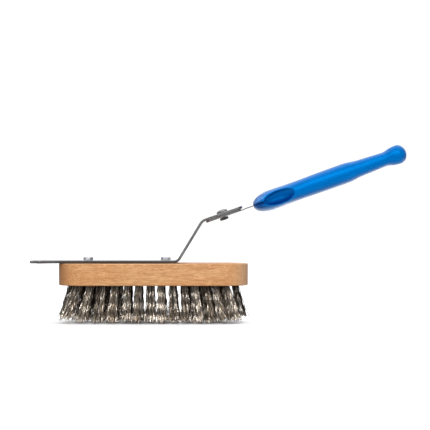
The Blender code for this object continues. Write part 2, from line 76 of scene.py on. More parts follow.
# handle
NOSE, TANG_MID = 33.6, -4.5
DROP, TILT = 0.1, math.radians(0.62)  # nose below the flat of the tang, axis against the strap
STATIONS = [  # along, half height, half width
    (0.0, 2.0, 7.5),
    (1.0, 3.9, 8.9),
    (3.0, 6.0, 11.0),
    (7.0, 8.2, 14.1),
    (12.0, 9.7, 17.0),
    (16.5, 10.5, 18.4),
    (21.0, 10.65, 19.0),
    (30.0, 10.45, 18.2),
    (40.0, 10.2, 15.8),
    (46.0, 10.2, 14.4),
    (52.0, 10.2, 13.5),
    (70.0, 10.5, 13.4),
    (90.0, 10.65, 13.2),
    (104.0, 10.6, 12.5),
    (110.0, 10.05, 12.0),
    (116.0, 9.1, 11.4),
    (125.0, 8.6, 10.8),
    (138.0, 8.0, 10.6),
    (147.5, 7.6, 10.8),
    (151.5, 8.6, 11.6),
    (155.5, 10.1, 12.6),
    (160.0, 10.8, 13.2),
    (162.5, 10.7, 13.1),
    (165.2, 9.8, 12.3),
    (167.6, 8.2, 10.6),
    (169.4, 6.0, 8.2),
    (170.6, 3.8, 5.6),
    (171.2, 1.8, 2.8),
]
SCOOP_AT, SCOOP_SIZE, SCOOP_Y = 30.7, (19.2, 7.3, 7.1), 15.5

U_AXIS = Vector((math.cos(UPPER), 0.0, math.sin(UPPER)))
N_AXIS = Vector((-math.sin(UPPER), 0.0, math.cos(UPPER)))


def to_row(p):
    """Brush frame millimetres to row frame metres."""
    return Vector(((p[0] + ROW_X) * MM, p[1] * MM, p[2] * MM))


def swivel_to_row(u, y, n):
    """Point along the upper strap (u from the pivot, n above its top face) in the row frame."""
    return to_row(PIVOT + U_AXIS * u + Vector((0, y, 0)) + N_AXIS * n)


# ------------------------------------------------------------------ meshes


def to_mesh(bm, name):
    mesh = bpy.data.meshes.new(name)
    bm.to_mesh(mesh)
    bm.free()
    return mesh


def piece(name, mesh, material, body, nodes, sharp=None, weighted=False):
    obj = bpy.data.objects.new(name, mesh)
    bpy.context.scene.collection.objects.link(obj)
    if not mesh.materials:
        mesh.materials.append(material)
    if sharp is not None:
        mesh.shade_smooth()
        mesh.set_sharp_from_angle(angle=math.radians(sharp))
    if weighted:
        modifier = obj.modifiers.new("normals", "WEIGHTED_NORMAL")
        modifier.keep_sharp = True
        modifier.weight = 80
    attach(obj, body)
    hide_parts(*nodes)
    return obj


def loft(bm, rings, caps=(True, True)):
    loops = [[bm.verts.new(p) for p in ring] for ring in rings]
    count = len(rings[0])
    for a, b in zip(loops, loops[1:]):
        for i in range(count):
            j = (i + 1) % count
            bm.faces.new((a[i], a[j], b[j], b[i]))
    if caps[0]:
        bm.faces.new(loops[0][::-1])
    if caps[1]:
        bm.faces.new(loops[-1])
    return loops


def boolean(mesh, cutters, name):
    """mesh less the cutters, as a new mesh."""
    obj = bpy.data.objects.new(name + "_solid", mesh)
    bpy.context.scene.collection.objects.link(obj)
    made = [obj]
    for i, cutter in enumerate(cutters):
        tool = bpy.data.objects.new(f"{name}_cutter_{i}", cutter)
        bpy.context.scene.collection.objects.link(tool)
        modifier = obj.modifiers.new(f"cut_{i}", "BOOLEAN")
        modifier.operation = "DIFFERENCE"
        modifier.solver = "EXACT"
        modifier.object = tool
        made.append(tool)
    bpy.context.view_layer.update()
    graph = bpy.context.evaluated_depsgraph_get()
    result = bpy.data.meshes.new_from_object(obj.evaluated_get(graph))
    for o in made:
        bpy.data.objects.remove(o, do_unlink=True)
    result.name = name
    return result


def tidy(mesh, dist=0.002):
    bm = bmesh.new()
    bm.from_mesh(mesh)
    bmesh.ops.remove_doubles(bm, verts=bm.verts[:], dist=dist * MM)
    bmesh.ops.recalc_face_normals(bm, faces=bm.faces[:])
    bm.to_mesh(mesh)
    bm.free()
    return mesh


def move(mesh, function):
    """Every vertex of the mesh through a function of (x, y, z) in millimetres, which gives the row frame."""
    for v in mesh.vertices:
        v.co = function(*v.co)
    return mesh


def vector_attribute(mesh, name, values):
    attribute = mesh.attributes.new(name, "FLOAT_VECTOR", "POINT")
    attribute.data.foreach_set("vector", np.asarray(values, np.float32).ravel())


def float_attribute(mesh, name, values):
    attribute = mesh.attributes.new(name, "FLOAT", "POINT")
    attribute.data.foreach_set("value", np.asarray(values, np.float32).ravel())


# --------------------------------------------------------------- materials


class Shader:
    """Small helper that builds a node tree."""

    def __init__(self, name):
        self.material = bpy.data.materials.new(name)
        self.material.use_nodes = True
        self.tree = self.material.node_tree
        self.bsdf = self.tree.nodes["Principled BSDF"]

    def node(self, kind, **settings):
        made = self.tree.nodes.new(kind)
        for key, value in settings.items():
            setattr(made, key, value)
        return made

    def link(self, source, target):
        self.tree.links.new(source, target)

    def set(self, **values):
        for key, value in values.items():
            self.bsdf.inputs[key.replace("_", " ")].default_value = value

    def coords(self, scale=(1, 1, 1), rotation=(0, 0, 0), location=(0, 0, 0), attribute=None):
        """Texture space in millimetres times scale, from the object's own coordinates or an attribute."""
        if attribute:
            source = self.node("ShaderNodeAttribute", attribute_name=attribute).outputs["Vector"]
            unit = 1.0
        else:
            source = self.node("ShaderNodeTexCoord").outputs["Object"]
            unit = 1000.0
        mapping = self.node("ShaderNodeMapping")
        self.link(source, mapping.inputs["Vector"])
        mapping.inputs["Scale"].default_value = [s * unit for s in scale]
        mapping.inputs["Rotation"].default_value = rotation
        mapping.inputs["Location"].default_value = location
        return mapping.outputs["Vector"]

    def noise(self, vector, scale=1.0, detail=3.0, roughness=0.5, distortion=0.0):
        n = self.node("ShaderNodeTexNoise")
        self.link(vector, n.inputs["Vector"])
        n.inputs["Scale"].default_value = scale
        n.inputs["Detail"].default_value = detail
        n.inputs["Roughness"].default_value = roughness
        n.inputs["Distortion"].default_value = distortion
        return n.outputs["Fac"]

    def range(self, value, low, high, to_low=0.0, to_high=1.0, smooth=False):
        n = self.node("ShaderNodeMapRange")
        n.interpolation_type = "SMOOTHSTEP" if smooth else "LINEAR"
        self.link(value, n.inputs["Value"])
        for key, v in (("From Min", low), ("From Max", high), ("To Min", to_low), ("To Max", to_high)):
            n.inputs[key].default_value = v
        return n.outputs["Result"]

    def math(self, operation, a, b=None):
        n = self.node("ShaderNodeMath", operation=operation)
        for i, v in enumerate((a, b)):
            if v is None:
                continue
            if isinstance(v, (int, float)):
                n.inputs[i].default_value = v
            else:
                self.link(v, n.inputs[i])
        return n.outputs["Value"]

    def mix(self, factor, a, b, kind="MIX"):
        n = self.node("ShaderNodeMix", data_type="RGBA", blend_type=kind)
        for name, v in (("Factor", factor), ("A", a), ("B", b)):
            sockets = [s for s in n.inputs if s.name == name and s.type == ("VALUE" if name == "Factor" else "RGBA")]
            if isinstance(v, (int, float)):
                sockets[0].default_value = v
            elif isinstance(v, tuple):
                sockets[0].default_value = (*v, 1.0)
            else:
                self.link(v, sockets[0])
        return next(s for s in n.outputs if s.type == "RGBA")

    def bump(self, height, strength, distance, after=None):
        n = self.node("ShaderNodeBump")
        self.link(height, n.inputs["Height"])
        n.inputs["Strength"].default_value = strength
        n.inputs["Distance"].default_value = distance
        if after is not None:
            self.link(after, n.inputs["Normal"])
        return n.outputs["Normal"]

    def to(self, **links):
        for key, socket in links.items():
            self.link(socket, self.bsdf.inputs[key.replace("_", " ")])
        return self.material


def linear(r, g, b):
    """sRGB 0 to 255 as linear colour."""
    found = []
    for v in (r, g, b):
        v /= 255.0
        found.append(v / 12.92 if v <= 0.04045 else ((v + 0.055) / 1.055) ** 2.4)
    return tuple(found)


def beech():
    s = Shader("beech_oiled")
    s.set(Specular_IOR_Level=0.35)
    # slow colour drift, long grain, and the short dark flecks of beech
    drift = s.noise(s.coords((0.012, 0.05, 0.05)), detail=2.0)
    grain = s.noise(s.coords((0.02, 0.55, 0.55)), detail=5.0, roughness=0.62, distortion=0.35)
    fine = s.noise(s.coords((0.12, 3.2, 3.2)), detail=4.0, roughness=0.6)
    mottle = s.noise(s.coords((0.17, 1.25, 1.25), location=(5.0, 2.0, 7.0)), detail=5.0, roughness=0.72)
    colour = s.mix(
        s.range(grain, 0.34, 0.66, smooth=True), linear(205, 147, 95), linear(232, 180, 126)
    )
    colour = s.mix(s.range(drift, 0.40, 0.62, 0.0, 0.55), colour, linear(208, 142, 86))
    colour = s.mix(s.range(mottle, 0.45, 0.62, 0.0, 0.50), colour, linear(186, 122, 70))
    colour = s.mix(s.range(mottle, 0.50, 0.36, 0.0, 0.62), colour, linear(250, 204, 150))
    colour = s.mix(s.range(fine, 0.40, 0.66, 0.0, 0.32), colour, linear(190, 128, 80))
    fleck = s.node("ShaderNodeTexVoronoi", feature="F1")
    s.link(s.coords((0.42, 1.9, 1.9), location=(3.1, 1.7, 9.2)), fleck.inputs["Vector"])
    fleck.inputs["Scale"].default_value = 1.0
    fleck.inputs["Randomness"].default_value = 1.0
    spot = s.range(fleck.outputs["Distance"], 0.10, 0.26, 1.0, 0.0, smooth=True)
    colour = s.mix(s.math("MULTIPLY", spot, 0.85), colour, linear(136, 82, 44))
    # end grain on the two round ends; the left end is painted darker as painted shade, the right end paler as
    # painted light
    middle = (BLOCK_X + ROW_X) * MM
    place = s.node("ShaderNodeSeparateXYZ")
    s.link(s.node("ShaderNodeTexCoord").outputs["Object"], place.inputs["Vector"])
    off = s.math("ABSOLUTE", s.math("SUBTRACT", place.outputs["X"], middle))
    end = s.range(off, 0.080, 0.1005, 0.0, 1.0, smooth=True)
    rings = s.noise(s.coords((0.5, 0.9, 0.35)), detail=4.0, roughness=0.7, distortion=0.6)
    # painted shade on the left end, painted light on the right end
    end_grain_shading = s.mix(s.range(rings, 0.4, 0.62), linear(168, 112, 68), linear(202, 142, 94))
    lit_end_grain = s.mix(s.range(rings, 0.4, 0.62), linear(214, 168, 130), linear(246, 200, 160))
    right = s.range(place.outputs["X"], middle - 0.01, middle + 0.01)
    end_grain_shading = s.mix(right, end_grain_shading, lit_end_grain)
    colour = s.mix(s.math("MULTIPLY", end, 0.75), colour, end_grain_shading)
    rough = s.range(grain, 0.3, 0.7, 0.62, 0.46)
    height = s.math("ADD", s.math("MULTIPLY", fine, 0.6), s.math("MULTIPLY", spot, -0.5))
    normal = s.bump(height, 0.35, 0.00018)
    return s.to(Base_Color=colour, Roughness=rough, Normal=normal)


def brushed(name, colour, low, high, scale, attribute=None, stain=0.25, edge=None):
    """Rolled and brushed steel: scratches along one direction, with faint stains, and, where edge is given, painted
    shade on the edge face.
    """
    s = Shader(name)
    s.set(Metallic=1.0)
    lines = s.noise(s.coords(scale, attribute=attribute), detail=4.0, roughness=0.65)
    cloud = s.noise(s.coords((0.09, 0.09, 0.09), attribute=attribute), detail=5.0, roughness=0.6)
    dark = tuple(c * 0.72 for c in colour)
    base = s.mix(s.range(lines, 0.32, 0.68), dark, colour)
    base = s.mix(
        s.range(cloud, 0.46, 0.66, 0.0, stain), base, tuple(c * 0.45 for c in colour)
    )
    if edge:
        # painted shade on the sheet's edge face, between its two faces, darkest along the low run
        place = s.node("ShaderNodeSeparateXYZ")
        s.link(s.node("ShaderNodeAttribute", attribute_name=attribute).outputs["Vector"], place.inputs["Vector"])
        middle = s.range(s.math("ABSOLUTE", place.outputs["Z"]), edge[0], edge[1], 1.0, 0.0)
        run = s.range(place.outputs["X"], edge[2], edge[3], edge[4], edge[5], smooth=True)
        run = s.math("MULTIPLY", run, s.range(place.outputs["X"], edge[6], edge[7], edge[8], 0.94, smooth=True))
        base = s.mix(s.math("MULTIPLY", middle, run), base, tuple(c * 0.2 for c in colour))
    rough = s.math(
        "ADD", s.range(lines, 0.3, 0.7, low, high), s.range(cloud, 0.4, 0.7, 0.0, 0.08)
    )
    normal = s.bump(lines, 0.25, 0.00006)
    return s.to(Base_Color=base, Roughness=rough, Normal=normal)


def plated(name, colour, low, high):
    """Zinc plating: fine even grain with small dull patches."""
    s = Shader(name)
    s.set(Metallic=1.0)
    grain = s.noise(s.coords((2.6, 2.6, 2.6)), detail=4.0, roughness=0.6)
    patch = s.noise(s.coords((0.35, 0.35, 0.35)), detail=3.0)
    base = s.mix(s.range(patch, 0.42, 0.62), tuple(c * 0.8 for c in colour), colour)
    rough = s.math(
        "ADD", s.range(grain, 0.3, 0.7, low, high), s.range(patch, 0.4, 0.65, 0.08, 0.0)
    )
    normal = s.bump(grain, 0.2, 0.00004)
    return s.to(Base_Color=base, Roughness=rough, Normal=normal)


def wire():
    s = Shader("crimped_wire")
    s.set(Metallic=1.0)
    tone_and_shade = s.node("ShaderNodeAttribute", attribute_name="tone_and_shade").outputs["Fac"]
    spots = s.noise(s.coords((0.7, 0.7, 0.35)), detail=3.0, roughness=0.6)
    # each wire's tone, with painted shade at the roots and in the middle row and painted light towards the tips
    colour = s.mix(tone_and_shade, linear(28, 23, 20), linear(255, 242, 226))
    colour = s.mix(s.range(spots, 0.5, 0.7, 0.0, 0.5), colour, linear(76, 62, 52))
    rough = s.range(spots, 0.3, 0.7, 0.24, 0.38)
    normal = s.bump(spots, 0.15, 0.00003)
    return s.to(Base_Color=colour, Roughness=rough, Normal=normal)


def blue_plastic():
    s = Shader("moulded_blue")
    s.set(IOR=1.62, Specular_Tint=(0.0, 0.34, 0.84, 1.0))
    flow = s.noise(s.coords((0.03, 0.22, 0.22), attribute="place"), detail=3.0)
    skin = s.noise(s.coords((1.5, 1.5, 1.5), attribute="place"), detail=4.0, roughness=0.6)
    colour = s.mix(s.range(flow, 0.36, 0.66), (0.0, 0.130, 0.450), (0.0, 0.148, 0.500))
    # painted shade: the side scoops, the valleys and the nose tip are darkened, most low in a scoop
    pocket_shade = s.node("ShaderNodeAttribute", attribute_name="pocket_shade").outputs["Fac"]
    colour = s.mix(pocket_shade, colour, (0.0, 0.018, 0.150))
    scuff = s.noise(s.coords((0.5, 0.16, 0.16), rotation=(0, 0, 0.4), attribute="place"), detail=6.0, roughness=0.75)
    rough = s.math(
        "ADD", s.range(skin, 0.3, 0.7, 0.27, 0.33), s.range(scuff, 0.58, 0.74, 0.0, 0.12)
    )
    rough = s.math("ADD", rough, s.math("MULTIPLY", pocket_shade, 0.15))
    normal = s.bump(skin, 0.08, 0.00004)
    return s.to(Base_Color=colour, Roughness=rough, Normal=normal)


# ------------------------------------------------------------------- block


def stadium(grow, z, count=192):
    """Outline of the block, moved out by grow, at height z."""
    radius = BLOCK_WIDTH / 2 + grow
    stretch = BLOCK_LENGTH / 2 - BLOCK_WIDTH / 2
    found = []
    quarter = count // 4
    for i in range(count):
        a = 2 * math.pi * (i + 0.5) / count
        x = math.copysign(stretch, math.cos(a)) + radius * math.cos(a)
        found.append((BLOCK_X + x, radius * math.sin(a), z))
    # a few more points along the straight sides
    full = []
    for i, p in enumerate(found):
        full.append(p)
        q = found[(i + 1) % count]
        if abs(p[0] - q[0]) > 20:
            for k in range(1, 24):
                t = k / 24
                full.append(tuple(a + (b - a) * t for a, b in zip(p, q)))
    return full


def tuft_axes():
    """(node, root, tip, tip radius) of each tuft, in the brush frame."""
    found = []
    for row, (offsets, y) in enumerate(((OUTER_ROW, -15.0), (MIDDLE_ROW, 0.0), (OUTER_ROW, 15.0)), 1):
        tips = [o * (1.09 + (0.06 * (o / 80.0) ** 2 if y else 0.0)) for o in offsets]
        for i, offset in enumerate(offsets):
            pairs = list(zip(tips[max(i - 1, 0) :], tips[max(i, 1) : i + 2]))
            near = min(b - a for a, b in pairs)
            rise = 5.0 * max(0.0, (abs(offset) / 87.0 - 0.72) / 0.28) ** 1.5
            found.append(
                (
                    f"tuft_r{row}_c{i + 1:02d}",
                    Vector((BLOCK_X + offset, y, BLOCK_BOTTOM)),
                    Vector((BLOCK_X + tips[i], y * 1.2, rise)),
                    min(TUFT_TIP_R, near / 2 - 0.2),
                )
            )
    return found


def along(root, tip, z):
    return root.lerp(tip, (root.z - z) / (root.z - tip.z))


def ring_at(centre, radius, sides):
    return [
        (
            centre[0] + radius * math.cos(2 * math.pi * i / sides),
            centre[1] + radius * math.sin(2 * math.pi * i / sides),
            centre[2],
        )
        for i in range(sides)
    ]


def make_block(material, axes):
    bm = bmesh.new()
    rings = []
    steps = 6
    for k in range(steps + 1):
        a = math.pi / 2 * k / steps
        rings.append(
            stadium(-BLOCK_EDGE * (1 - math.sin(a)), BLOCK_BOTTOM + BLOCK_EDGE * (1 - math.cos(a)))
        )
    for k in range(steps + 1):
        a = math.pi / 2 * k / steps
        rings.append(
            stadium(-BLOCK_EDGE * (1 - math.cos(a)), BLOCK_TOP - BLOCK_EDGE * (1 - math.sin(a)))
        )
    loft(bm, rings)
    solid = to_mesh(bm, "block_solid")
    bm = bmesh.new()
    for _, root, tip, _ in axes:
        loft(
            bm,
            [
                ring_at(along(root, tip, BLOCK_BOTTOM + HOLE_DEPTH), HOLE_R, 28),
                ring_at(along(root, tip, BLOCK_BOTTOM + 0.5), HOLE_R, 28),
                ring_at(along(root, tip, BLOCK_BOTTOM - 0.5), HOLE_R + 1.0, 28),
            ],
        )
    for x in SCREWS:
        loft(bm, [ring_at((x, 0, 75.0), 2.3, 28), ring_at((x, 0, 52.3), 2.3, 28)])
    bmesh.ops.recalc_face_normals(bm, faces=bm.faces[:])
    holes = to_mesh(bm, "holes")
    mesh = tidy(boolean(tidy(solid), [holes], "brush_block_mesh"))
    move(mesh, lambda x, y, z: to_row((x, y, z)))
    return piece("block", mesh, material, "head", ["brush_block"], 35, True)


# ------------------------------------------------------------------- tufts


def make_tuft(name, root, tip, tip_radius, material, seed):
    rng = random.Random(seed)
    segments, sides = 25, 4
    verts, faces, tones_and_shade = [], [], []
    top = BLOCK_BOTTOM + 4.5
    golden = math.pi * (3 - math.sqrt(5))
    inner = TUFT_ROOT_R - WIRE_R - 0.1
    turn = rng.uniform(0, 2 * math.pi)
    lift = rng.uniform(0.0, 1.8)
    bias, heading = rng.gauss(0, 0.5), rng.gauss(0, 0.3)
    # painted shade: the middle row, shaded by the outer rows, gets fewer bright wires
    shade = 0.56 if abs(root.y) < 1.0 else 0.77
    loose = 0.32 + 0.9 * abs(root.x - BLOCK_X) / 80.0
    for w in range(WIRES):
        share = math.sqrt((w + 0.5) / WIRES)
        a = turn + w * golden + rng.gauss(0, 0.12)
        off = Vector((math.cos(a), math.sin(a), 0)) * (share * inner)
        # how far the wire leans out of the tuft
        reach = (tip_radius + 0.7) / TUFT_ROOT_R
        stray = max(0.0, rng.gauss(0, 0.6)) ** 2
        lean = Vector((rng.gauss(0, 1.25), rng.gauss(0, 1.1), 0)) + off.normalized() * stray * 3.0
        length = lift + abs(rng.gauss(0, 2.1)) if rng.random() < 0.88 else rng.uniform(2.0, 7.5)
        end_z = max(0.15, tip.z + length)
        across = heading + rng.gauss(0, 0.45)
        across = max(-1.1, min(1.1, across))
        swing = Vector((math.sin(across), math.cos(across), 0))
        size = rng.uniform(0.78, 1.25)
        phase = bias + rng.gauss(0, loose)
        second = Vector((rng.gauss(0, 0.18), rng.gauss(0, 0.18), 0))
        tone_and_shade = rng.uniform(0.75, 1.0) if rng.random() < shade else rng.uniform(0.0, 0.2)
        points = []
        for k in range(segments):
            z = top + (end_z - top) * k / (segments - 1)
            t = (BLOCK_BOTTOM - z) / (BLOCK_BOTTOM - tip.z)
            below = max(0.0, t)
            centre = root.lerp(tip, t) if t > 0 else Vector((root.x, root.y, z)) + (tip - root) * t
            spread = off * (1 + (reach - 1) * below**1.25) + lean * below**2.5
            wave = math.sin(2 * math.pi * (z - CRIMP_AT) / CRIMP + phase)
            free = min(1.0, below * 5.0)
            crimp = swing * (size * wave * (0.35 + 0.65 * free))
            crimp += second * math.sin(2 * math.pi * (z - 3.0) / 19.0 + phase * 2) * free
            p = Vector((centre.x, centre.y, z)) + spread + crimp
            if t < 0.04:  # inside its hole
                middle = Vector((centre.x, centre.y, z))
                flat = p - middle
                limit = TUFT_ROOT_R - WIRE_R
                if flat.length > limit:
                    p = middle + flat.normalized() * limit
            p.y = max(-25.6, min(25.6, p.y))
            points.append(p)
        base = len(verts)
        spin = rng.uniform(0, math.pi / 2)
        for k, p in enumerate(points):
            q = points[min(k + 1, segments - 1)] - points[max(k - 1, 0)]
            q.normalize()
            side = q.cross(Vector((0, 1, 0)))
            side.normalize()
            other = q.cross(side)
            for m in range(sides):
                b = spin + 2 * math.pi * m / sides
                verts.append(to_row(p + (side * math.cos(b) + other * math.sin(b)) * WIRE_R))
                # painted shade darkens the wires near their roots under the block, and painted light brightens them
                # towards the tips
                bright = 0.42 + 0.58 * min(1.0, max(0.0, (38.5 - p.z) / 6.0))
                tones_and_shade.append(min(1.0, tone_and_shade * bright + 0.42 * max(0.0, 1.0 - p.z / 18.0)))
        for k in range(segments - 1):
            for m in range(sides):
                n = (m + 1) % sides
                a0 = base + k * sides
                faces.append((a0 + m, a0 + n, a0 + sides + n, a0 + sides + m))
        faces.append(tuple(base + m for m in range(sides))[::-1])
        last = base + (segments - 1) * sides
        faces.append(tuple(last + m for m in range(sides)))
    mesh = bpy.data.meshes.new(name + "_wires")
    mesh.from_pydata([tuple(v) for v in verts], [], faces)
    bm = bmesh.new()
    bm.from_mesh(mesh)
    bmesh.ops.recalc_face_normals(bm, faces=bm.faces[:])
    bm.to_mesh(mesh)
    bm.free()
    float_attribute(mesh, "tone_and_shade", tones_and_shade)
    return piece(name + "_wires", mesh, material, "head", [name], 62)


# ------------------------------------------------------------------- plate


def bend_path():
    """Straight and curved runs of the plate's middle line: (start length, point, angle, curvature)."""
    runs = []
    lower, upper = Vector((-42.6, 0, PLATE_MID_Z)), Vector((-16.4, 0, 107.95))
    r1, r2 = 7.0, 10.0
    flat = Vector((1, 0, 0))
    rise = Vector((math.cos(RISER), 0, math.sin(RISER)))
    back1 = r1 * math.tan(RISER / 2)
    back2 = r2 * math.tan((RISER - UPPER) / 2)
    length = 0.0
    start = Vector((BLADE_TIP, 0, PLATE_MID_Z))
    runs.append((length, start, 0.0, 0.0))
    p1 = lower - flat * back1
    length += (p1 - start).length
    runs.append((length, p1, 0.0, 1 / r1))
    length += r1 * RISER
    p2 = lower + rise * back1
    runs.append((length, p2, RISER, 0.0))
    p3 = upper - rise * back2
    length += (p3 - p2).length
    runs.append((length, p3, RISER, -1 / r2))
    length += r2 * (RISER - UPPER)
    p4 = upper + U_AXIS * back2
    runs.append((length, p4, UPPER, 0.0))
    pivot = PIVOT - N_AXIS * (PLATE_T / 2)
    return runs, length + (pivot - p4).length


RUNS, PIVOT_LENGTH = bend_path()


def bend(length, y, h):
    """Point of the plate at a length along it, y across and h above its middle surface."""
    for start, point, angle, curve in reversed(RUNS):
        if length >= start or start == 0.0:
            break
    d = length - start
    if curve:
        a = angle + curve * d
        r = 1 / curve
        centre = point + Vector((-math.sin(angle), 0, math.cos(angle))) * r
        p = centre - Vector((-math.sin(a), 0, math.cos(a))) * r
    else:
        a = angle
        p = point + Vector((math.cos(a), 0, math.sin(a))) * d
    return to_row(p + Vector((-math.sin(a), 0, math.cos(a))) * h + Vector((0, y, 0)))


def flat_solid(name, outline, holes, thickness, edge):
    """Sheet of the outline with rounded edges, centred on Z = 0, as a mesh in millimetres."""
    curve = bpy.data.curves.new(name, "CURVE")
    curve.dimensions = "2D"
    curve.fill_mode = "BOTH"
    curve.extrude = thickness / 2 - edge
    curve.bevel_depth = edge
    curve.bevel_resolution = 2
    curve.offset = -edge
    for points in (outline, *holes):
        spline = curve.splines.new("POLY")
        spline.points.add(len(points) - 1)
        for point, (x, y) in zip(spline.points, points):
            point.co = (x, y, 0, 1)
        spline.use_cyclic_u = True
    source = bpy.data.objects.new(name + "_outline", curve)
    bpy.context.scene.collection.objects.link(source)
    bpy.context.view_layer.update()
    graph = bpy.context.evaluated_depsgraph_get()
    mesh = bpy.data.meshes.new_from_object(source.evaluated_get(graph))
    bpy.data.objects.remove(source, do_unlink=True)
    mesh.materials.clear()
    bm = bmesh.new()
    bm.from_mesh(mesh)
    bmesh.ops.remove_doubles(bm, verts=bm.verts[:], dist=0.004)
    bmesh.ops.recalc_face_normals(bm, faces=bm.faces[:])
    bm.to_mesh(mesh)
    bm.free()
    return mesh


def circle_points(x, y, radius, count=40):
    return [
        (x + radius * math.cos(2 * math.pi * i / count), y - radius * math.sin(2 * math.pi * i / count))
        for i in range(count)
    ]


def smooth_line(points, per_gap=4):
    """Catmull-Rom line through 2-D points."""
    found = []
    for i in range(len(points) - 1):
        p0, p1, p2 = points[max(i - 1, 0)], points[i], points[i + 1]
        p3 = points[min(i + 2, len(points) - 1)]
        for k in range(per_gap):
            t = k / per_gap
            found.append(
                tuple(
                    0.5
                    * (
                        2 * b
                        + (c - a) * t
                        + (2 * a - 5 * b + 4 * c - d) * t * t
                        + (3 * b - a - 3 * c + d) * t**3
                    )
                    for a, b, c, d in zip(p0, p1, p2, p3)
                )
            )
    found.append(points[-1])
    return found


def make_plate(material):
    corner = [
        (0.0, BLADE_HALF - 1.0),
        (0.1, BLADE_HALF - 0.6),
        (0.35, BLADE_HALF - 0.25),
        (0.7, BLADE_HALF - 0.05),
        (1.1, BLADE_HALF),
        (6.2, BLADE_HALF),
    ]
    ear = smooth_line(
        [
            (6.2, BLADE_HALF),
            (6.9, BLADE_HALF + 0.4),
            (7.4, BLADE_HALF + 1.2),
            (9.3, EAR_HALF - 0.9),
            (10.0, EAR_HALF - 0.1),
            (11.0, EAR_HALF),
            (11.8, EAR_HALF - 0.5),
            (13.5, EAR_HALF - 2.4),
            (16.0, EAR_HALF - 4.7),
            (19.0, EAR_HALF - 6.7),
            (23.0, EAR_HALF - 8.6),
            (27.0, EAR_HALF - 9.7),
            (31.0, STRAP_HALF),
        ],
        4,
    )[1:]
    end = PIVOT_LENGTH + STRAP_END
    round_end = []
    for i in range(13):
        a = math.radians(90 * i / 12)
        round_end.append((end - 6.0 + 6.0 * math.sin(a), STRAP_HALF - 6.0 * (1 - math.cos(a))))
    upper = corner + ear + round_end
    outline = upper + [(x, -y) for x, y in reversed(upper)]
    holes = [circle_points(x - BLADE_TIP, 0, 2.3) for x in SCREWS]
    holes.append(circle_points(PIVOT_LENGTH, 0, 2.65))
    mesh = flat_solid("plate", outline, holes, PLATE_T, 0.32)
    bm = bmesh.new()
    bm.from_mesh(mesh)
    cuts = []
    for (start, _, _, curve), (stop, _, _, _) in zip(RUNS, RUNS[1:]):
        if curve:
            cuts += [start + (stop - start) * k / 16 for k in range(17)]
    cuts += [5.0, 34.0, 100.0]
    for x in cuts:
        bmesh.ops.bisect_plane(
            bm,
            geom=bm.verts[:] + bm.edges[:] + bm.faces[:],
            plane_co=(x, 0, 0),
            plane_no=(1, 0, 0),
            dist=0.0005,
        )
    # ground edge under the blade
    found = bmesh.ops.bisect_plane(
        bm,
        geom=bm.verts[:] + bm.edges[:] + bm.faces[:],
        plane_co=(0, 0, -PLATE_T / 2 + 0.5),
        plane_no=(-math.sin(math.radians(20)), 0, -math.cos(math.radians(20))),
        dist=0.0005,
        clear_outer=True,
    )
    rim = [e for e in found["geom_cut"] if isinstance(e, bmesh.types.BMEdge)]
    bmesh.ops.edgenet_fill(bm, edges=rim)
    bmesh.ops.recalc_face_normals(bm, faces=bm.faces[:])
    bm.to_mesh(mesh)
    bm.free()
    vector_attribute(mesh, "place", [tuple(v.co) for v in mesh.vertices])
    move(mesh, bend)
    return piece("bent_plate", mesh, material, "head", ["bracket_plate"], 32, True)


# --------------------------------------------------------------- fasteners


def hex_ring(flats, scale, count, z):
    apothem = flats / 2
    found = []
    for i in range(count):
        a = 2 * math.pi * i / count
        off = (a - math.pi / 2 + math.pi / 6) % (math.pi / 3) - math.pi / 6
        r = min(apothem / math.cos(off), apothem * 1.147) * scale
        height = z(r) if callable(z) else z
        found.append((r * math.cos(a), r * math.sin(a), height))
    return found


def make_screw(name, x, node, material):
    count = 96
    flats, head, shank, length = 9.0, 3.3, 2.0, 13.7

    def crown(r):
        """Cone-cut corners and a low dome."""
        if r > 4.15:
            return head - (r - 4.15) * 0.62
        return head + 0.65 * (1 - (r / 4.15) ** 2)

    thread = []
    pitch = 1.4
    turns = [(-length, 0.25), (-length + 0.8, 0.9)]
    z = -length + 1.6
    while z < -1.2:
        turns += [(z, 1.35), (z + pitch * 0.45, 1.95), (z + pitch * 0.55, 1.95)]
        z += pitch
    turns += [(-0.9, 1.55), (0.0, 1.75)]
    for z, r in turns:
        thread.append(ring_at((0, 0, z), min(r, shank), count))
    rings = thread + [
        ring_at((0, 0, 0), 3.9, count),
        hex_ring(flats, 0.985, count, 0.0),
        hex_ring(flats, 1.0, count, 0.12),
    ]
    rings += [hex_ring(flats, 1.0, count, lambda r: crown(r) - 0.06)]
    rings += [hex_ring(flats, s, count, crown) for s in (0.992, 0.97, 0.94, 0.91, 0.88, 0.8, 0.68, 0.52, 0.34, 0.16, 0.05)]
    bm = bmesh.new()
    loft(bm, rings)
    mesh = tidy(to_mesh(bm, name), 1.0)
    seat = 63.0 + 0.3 + PLATE_T + 0.3
    move(mesh, lambda a, b, c: to_row((x + a, b, seat + c)))
    return piece(name, mesh, material, "head", [node], 28, True)


def make_bolt(material):
    low = -(PLATE_T + 0.3 + 1.0 + 0.3 + 0.7 + 0.3 + 2.8 + 0.2)
    count = 72
    profile = [(low, 1.9), (low + 0.35, 2.3)]
    z = low + 0.45
    while z < -5.4:
        profile += [(z, 2.34), (z + 0.22, 2.12), (z + 0.44, 2.34)]
        z += 0.62
    profile += [(-5.1, 2.35), (0.04, 2.35), (0.04, 5.75), (0.2, 5.95), (0.5, 6.0)]
    for k in range(1, 12):
        a = math.radians(90 * k / 12)
        profile.append((0.8 + 2.4 * math.sin(a), 6.0 * math.cos(a) ** 0.92))
    profile.append((3.2, 0.12))
    bm = bmesh.new()
    loft(bm, [ring_at((0, 0, h), r, count) for h, r in profile])
    mesh = tidy(to_mesh(bm, "bolt"), 1.0)
    move(mesh, swivel_to_row)
    return piece("pivot_bolt_head", mesh, material, "head", ["pivot_bolt"], 34, True)


